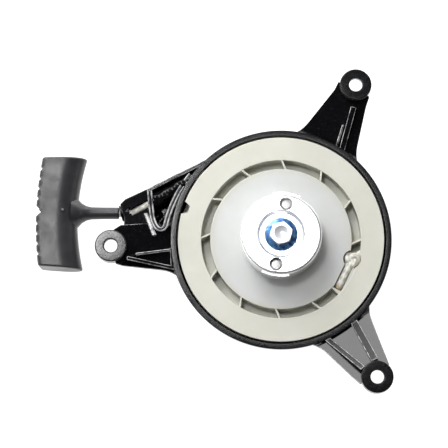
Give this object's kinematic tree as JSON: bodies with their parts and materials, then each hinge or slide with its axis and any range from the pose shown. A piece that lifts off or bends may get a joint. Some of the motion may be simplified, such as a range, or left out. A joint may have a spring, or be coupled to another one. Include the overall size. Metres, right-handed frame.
{
  "type": "recoil starter",
  "caption": "Pull-rope recoil starter for a small engine: black housing with arms, cored nylon rope reel, ratchet cup and a T-handle.",
  "frame": {"origin": "centre of the flat back of the housing, on the axis of the reel", "axes": "+Z along the reel's axis, towards the engine side; the rope is pulled towards -X; the starter rests on its back at Z = 0"},
  "size_m": [0.2112, 0.1916, 0.0523],
  "materials": {
    "black_casting": "gloss black paint on die-cast aluminium",
    "nylon": "natural nylon, satin",
    "rope": "braided nylon rope",
    "grey_rubber": "moulded grey plastic, satin",
    "bright_steel": "bright zinc-plated steel",
    "blue_zinc": "blue zinc-plated steel",
    "spring_steel": "oiled spring steel",
    "bronze": "sintered bronze"
  },
  "bodies": {
    "housing": {"housing": "black_casting", "rope_eyelet": "bright_steel", "spring_case": "spring_steel", "mainspring": "spring_steel", "thrust_washer": "spring_steel", "hub_sleeve": "spring_steel", "brake_spring": "spring_steel", "brake_washer": "spring_steel", "centre_bolt": "blue_zinc", "rope_lead": "rope"},
    "reel": {"reel": "nylon", "reel_bush": "bronze", "pawl_pin_1": "bright_steel", "pawl_pin_2": "bright_steel", "pawl_spring_1": "spring_steel", "pawl_spring_2": "spring_steel", "rope_winding": "rope", "reel_knot": "rope"},
    "cover": {"ratchet_cover": "bright_steel"},
    "pawl_1": {"pawl_1": "spring_steel"},
    "pawl_2": {"pawl_2": "spring_steel"},
    "handle": {"handle": "grey_rubber", "handle_washer": "bright_steel", "handle_knot": "rope", "rope_pull": "rope"}
  },
  "joints": [
    {"name": "reel_spin", "type": "hinge", "parent": "housing", "child": "reel", "pos_m": [0, 0, 0], "axis": [0, 0, 1], "range_deg": [0, 1080], "stiffness_Nm_per_rad": 0.03, "springref_deg": -687.55, "deforming": ["mainspring", "rope_winding"]},
    {"name": "handle_pull", "type": "slide", "parent": "housing", "child": "handle", "axis": [-1, 0, 0], "range_m": [0, 1.035]},
    {"name": "cover_turn", "type": "hinge", "parent": "reel", "child": "cover", "pos_m": [0, 0, 0], "axis": [0, 0, 1], "range_deg": [-8, 0], "stiffness_Nm_per_rad": 0.1, "springref_deg": 11.46},
    {"name": "pawl_1_swing", "type": "hinge", "parent": "reel", "child": "pawl_1", "pos_m": [0.00299, 0.01785, 0.04], "axis": [0, 0, 1], "range_deg": [-48, 0], "deforming": ["pawl_spring_1"]},
    {"name": "pawl_2_swing", "type": "hinge", "parent": "reel", "child": "pawl_2", "pos_m": [-0.00299, -0.01785, 0.04], "axis": [0, 0, 1], "range_deg": [-48, 0], "deforming": ["pawl_spring_2"]}
  ],
  "couplings": [
    {"joint": "handle_pull", "follows": "reel_spin", "m_per_rad": 0.0548},
    {"joint": "pawl_1_swing", "follows": "cover_turn", "ratio": 6},
    {"joint": "pawl_2_swing", "follows": "cover_turn", "ratio": 6}
  ]
}
